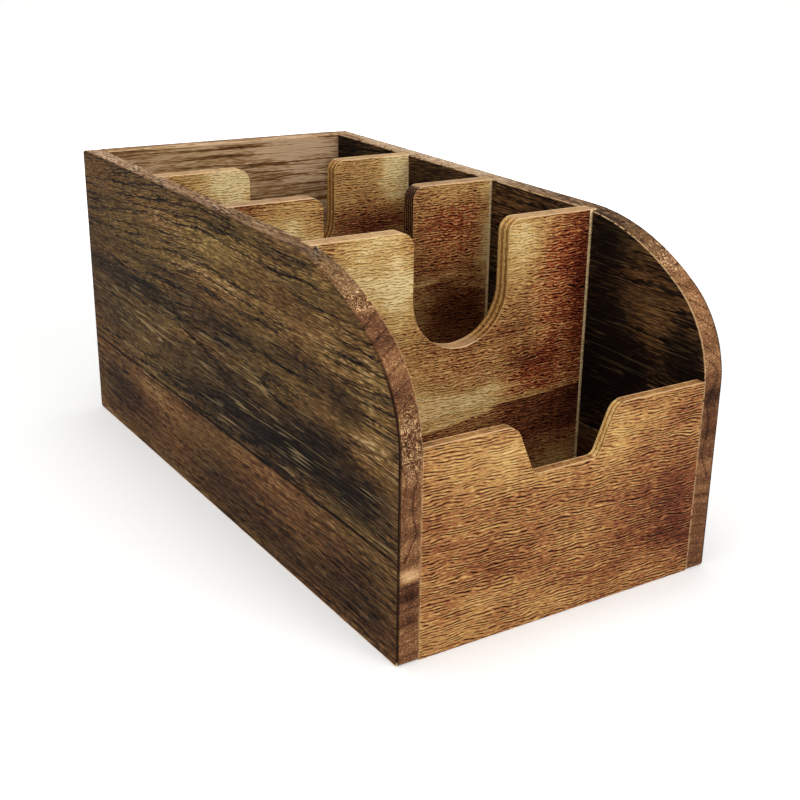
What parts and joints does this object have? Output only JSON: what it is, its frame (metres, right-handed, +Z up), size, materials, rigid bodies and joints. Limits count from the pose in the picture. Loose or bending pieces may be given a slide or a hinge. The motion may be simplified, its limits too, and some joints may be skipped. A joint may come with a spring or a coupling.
{
  "type": "packet organizer box",
  "caption": "Open wooden organizer box with curved front sides, a low notched front and lift-out U-notched dividers that part packets.",
  "frame": {"origin": "middle of the base, on the surface the box stands on", "axes": "+X to the right seen from the front, +Y from the front panel to the back panel, +Z up"},
  "size_m": [0.15, 0.3, 0.1365],
  "materials": {
    "side_wood": "scorched, brushed and oiled solid wood, satin",
    "side_wood_lower": "scorched, brushed and oiled solid wood, satin",
    "back_wood": "scorched, brushed and oiled solid wood, satin",
    "front_plywood": "scorched and brushed plywood, satin",
    "bottom_plywood": "plain plywood, matt",
    "divider_plywood": "scorched and brushed plywood, satin",
    "brad_steel": "plain steel"
  },
  "bodies": {
    "box": {"left_side_upper_board": "side_wood", "left_side_lower_board": "side_wood_lower", "right_side_upper_board": "side_wood", "right_side_lower_board": "side_wood_lower", "back_upper_board": "back_wood", "back_lower_board": "back_wood", "front_panel": "front_plywood", "bottom_panel": "bottom_plywood", "bottom_brads": "brad_steel"},
    "front_divider": {"front_divider": "divider_plywood"},
    "middle_divider": {"middle_divider": "divider_plywood"},
    "rear_divider": {"rear_divider": "divider_plywood"}
  },
  "joints": [
    {"name": "front_divider_lift", "type": "slide", "parent": "box", "child": "front_divider", "axis": [0, 0, 1], "range_m": [0, 0.14]},
    {"name": "middle_divider_lift", "type": "slide", "parent": "box", "child": "middle_divider", "axis": [0, 0, 1], "range_m": [0, 0.14]},
    {"name": "rear_divider_lift", "type": "slide", "parent": "box", "child": "rear_divider", "axis": [0, 0, 1], "range_m": [0, 0.14]}
  ]
}
